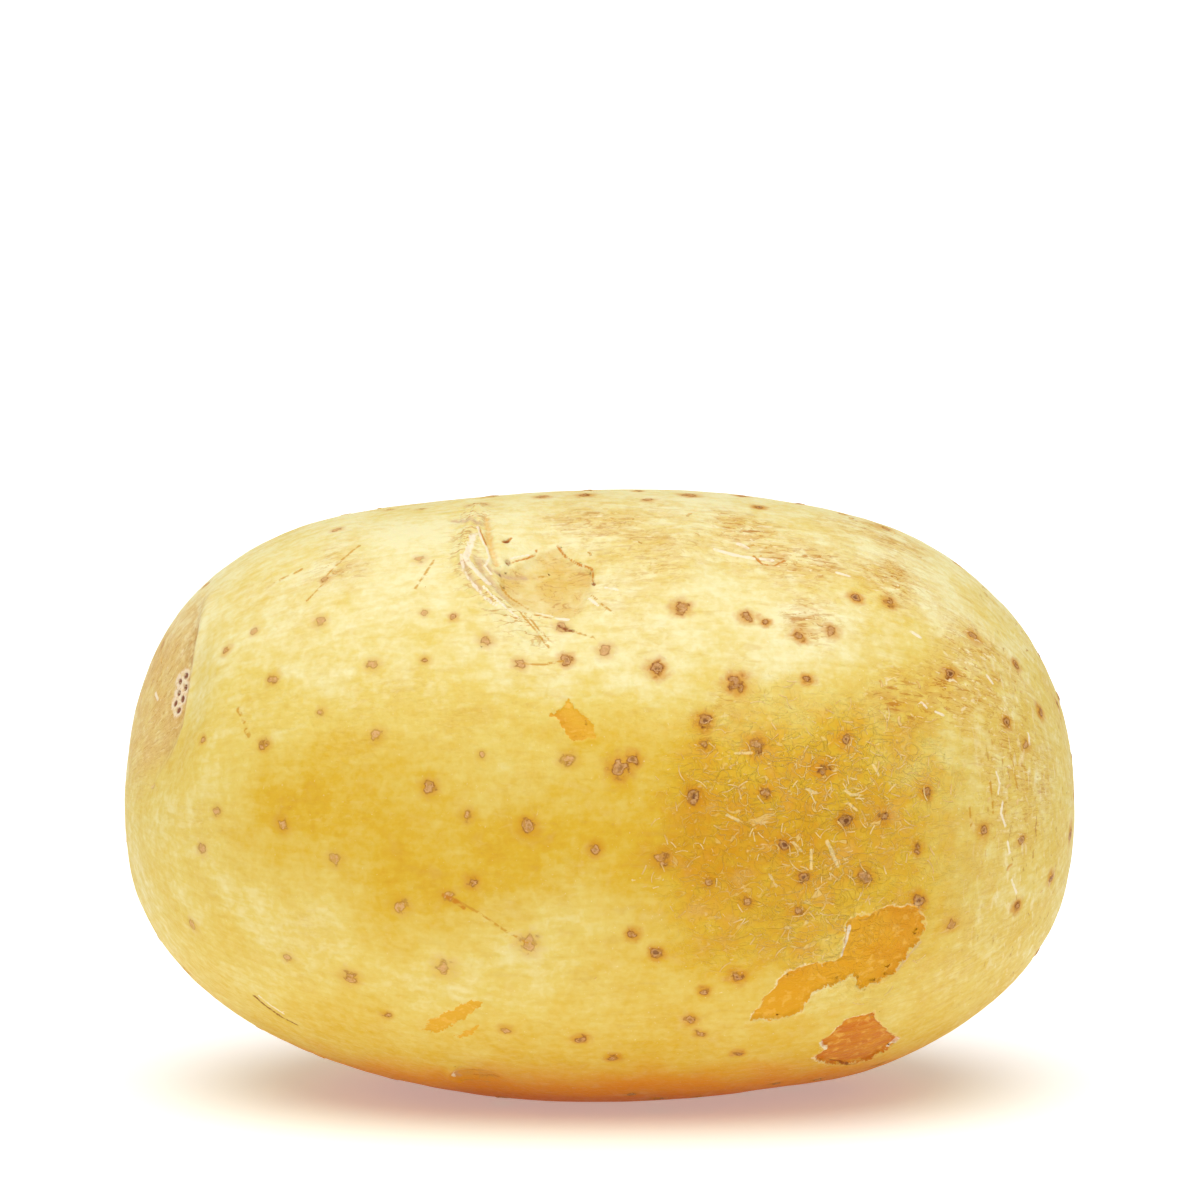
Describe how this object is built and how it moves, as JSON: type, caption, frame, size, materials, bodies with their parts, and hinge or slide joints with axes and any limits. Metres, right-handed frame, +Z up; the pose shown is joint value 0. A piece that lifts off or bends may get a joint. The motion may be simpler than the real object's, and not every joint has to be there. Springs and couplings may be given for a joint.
{
  "type": "potato",
  "caption": "Whole raw table potato with thin pale yellow skin, lying on its side on a small flat spot, with eyes and a stem-end hollow.",
  "frame": {"origin": "on the surface the potato rests on, under the middle of its bounding box", "axes": "+X from the stem end to the rose end, +Z up from the resting spot, -Y towards the front"},
  "size_m": [0.1, 0.068, 0.0638],
  "materials": {
    "skin": "thin matte potato skin with a faint satin sheen"
  },
  "bodies": {
    "root": {"potato": "skin"}
  },
  "joints": []
}
